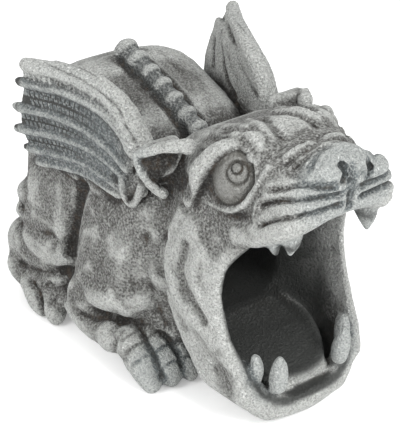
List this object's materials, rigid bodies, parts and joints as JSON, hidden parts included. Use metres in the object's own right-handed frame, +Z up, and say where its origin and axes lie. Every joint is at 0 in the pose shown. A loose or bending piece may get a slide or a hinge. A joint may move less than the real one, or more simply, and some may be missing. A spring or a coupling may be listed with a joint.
{
  "type": "downspout gargoyle",
  "caption": "Crouching winged gargoyle with a gaping mouth, hollow from an inlet in its rump to its jaws, to shroud a rainwater downspout.",
  "frame": {"origin": "middle of the bounding box on the flat underside it stands on", "axes": "+Z up, -Y the way the creature faces, +X its left side"},
  "size_m": [0.2366, 0.385, 0.2784],
  "materials": {
    "cast_stone": "weathered, dark in the recesses and dry-brushed pale on the edges"
  },
  "bodies": {
    "root": {"gargoyle": "cast_stone"}
  },
  "joints": []
}
